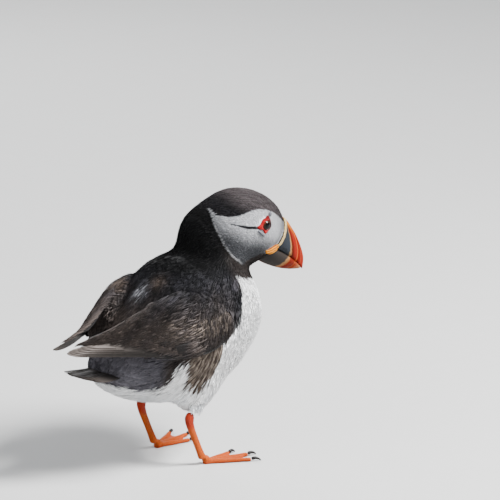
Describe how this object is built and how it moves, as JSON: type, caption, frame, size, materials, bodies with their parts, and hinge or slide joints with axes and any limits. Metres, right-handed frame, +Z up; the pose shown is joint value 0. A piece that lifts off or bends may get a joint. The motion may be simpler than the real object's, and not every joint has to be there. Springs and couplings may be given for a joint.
{
  "type": "atlantic puffin model",
  "caption": "Life-size still model of an Atlantic puffin standing on both feet with folded wings and its head lowered to its right.",
  "frame": {"origin": "on the floor, under the middle of the whole bird's bounding box", "axes": "+X the way the body faces, +Y the bird's left, +Z up"},
  "size_m": [0.2254, 0.1078, 0.1963],
  "materials": {
    "plumage": "feathers: black-brown above, pale grey on the face, white below",
    "leg_skin": "satin orange scaled skin",
    "claw_horn": "black-brown horn",
    "bill_horn": "satin horn, grey-blue base and orange-red grooved tip",
    "rim_horn": "pale cream horn",
    "rosette_skin": "wrinkled yellow-orange skin",
    "eye": "wet dark brown",
    "lid_skin": "bare red skin",
    "plate_horn": "blue-grey horn"
  },
  "bodies": {
    "root": {"head": "plumage", "neck": "plumage", "trunk": "plumage", "tail": "plumage", "wing_right": "plumage", "wing_left": "plumage", "primaries_right": "plumage", "primaries_left": "plumage", "thigh_right": "plumage", "thigh_left": "plumage", "tarsus_right": "leg_skin", "tarsus_left": "leg_skin", "foot_right": "leg_skin", "foot_left": "leg_skin", "claw_inner_right": "claw_horn", "claw_middle_right": "claw_horn", "claw_outer_right": "claw_horn", "claw_inner_left": "claw_horn", "claw_middle_left": "claw_horn", "claw_outer_left": "claw_horn", "bill_upper": "bill_horn", "bill_lower": "bill_horn", "bill_rim": "rim_horn", "rosette_right": "rosette_skin", "rosette_left": "rosette_skin", "eye_right": "eye", "eye_left": "eye", "eye_ring_right": "lid_skin", "eye_ring_left": "lid_skin", "brow_plate_right": "plate_horn", "brow_plate_left": "plate_horn", "cheek_plate_right": "plate_horn", "cheek_plate_left": "plate_horn"}
  },
  "joints": []
}
